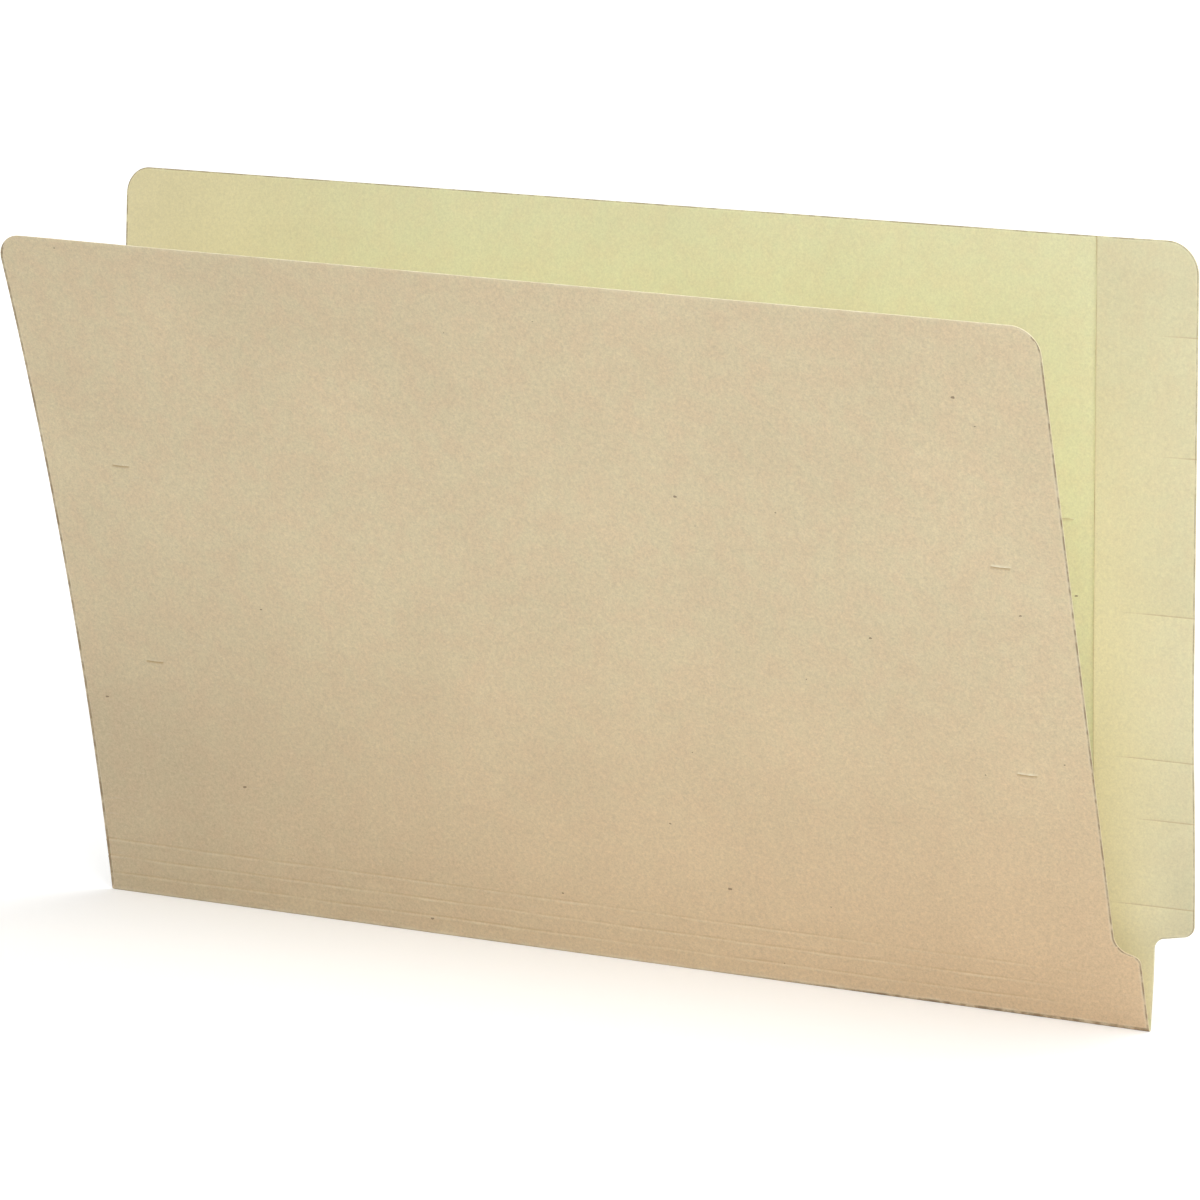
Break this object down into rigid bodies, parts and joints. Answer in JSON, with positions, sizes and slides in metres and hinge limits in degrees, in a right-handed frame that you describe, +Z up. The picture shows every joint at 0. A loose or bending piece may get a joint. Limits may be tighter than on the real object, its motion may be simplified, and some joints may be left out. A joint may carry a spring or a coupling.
{
  "type": "manila file folder",
  "caption": "Legal-size end-tab manila folder: back panel with a stiffened side tab, a folding cover, three scores along its bottom fold and slits for prong fasteners.",
  "frame": {"origin": "on the lowest line of the bottom fold, midway along it", "axes": "+X along the bottom fold towards the tab, +Y out of the back panel's outer face, +Z up the back panel"},
  "size_m": [0.3873, 0.0877, 0.2413],
  "materials": {
    "manila_board": "uncoated, matte, fibrous",
    "inner_board": "uncoated, matte, paler",
    "dried_glue": "dull film"
  },
  "bodies": {
    "fold": {"bottom_fold": "manila_board"},
    "back": {"back_panel": "manila_board", "tab_glue": "dried_glue", "tab_ply": "inner_board"},
    "strip_1": {"gusset_strip_1": "manila_board", "score_bead_1": "manila_board"},
    "strip_2": {"gusset_strip_2": "manila_board", "score_bead_2": "manila_board"},
    "strip_3": {"gusset_strip_3": "manila_board", "score_bead_3": "manila_board"},
    "cover": {"cover_panel": "manila_board"}
  },
  "joints": [
    {"name": "back_fold", "type": "hinge", "parent": "fold", "child": "back", "pos_m": [0, 0, 0.00078], "axis": [-1, 0, 0], "range_deg": [0, 87]},
    {"name": "cover_fold", "type": "hinge", "parent": "fold", "child": "strip_1", "pos_m": [0, 0, 0.00078], "axis": [1, 0, 0], "range_deg": [-3.5, 69.5]},
    {"name": "score_1_bend", "type": "hinge", "parent": "strip_1", "child": "strip_2", "pos_m": [0, -0.00197, 0.00563], "axis": [1, -0.002, -0.0006], "range_deg": [-4, 0]},
    {"name": "score_2_bend", "type": "hinge", "parent": "strip_2", "child": "strip_3", "pos_m": [0, -0.00355, 0.01143], "axis": [1, -0.0041, -0.0013], "range_deg": [-4, 0]},
    {"name": "score_3_bend", "type": "hinge", "parent": "strip_3", "child": "cover", "pos_m": [0, -0.00514, 0.01721], "axis": [1, -0.0062, -0.002], "range_deg": [-4, 0]}
  ]
}
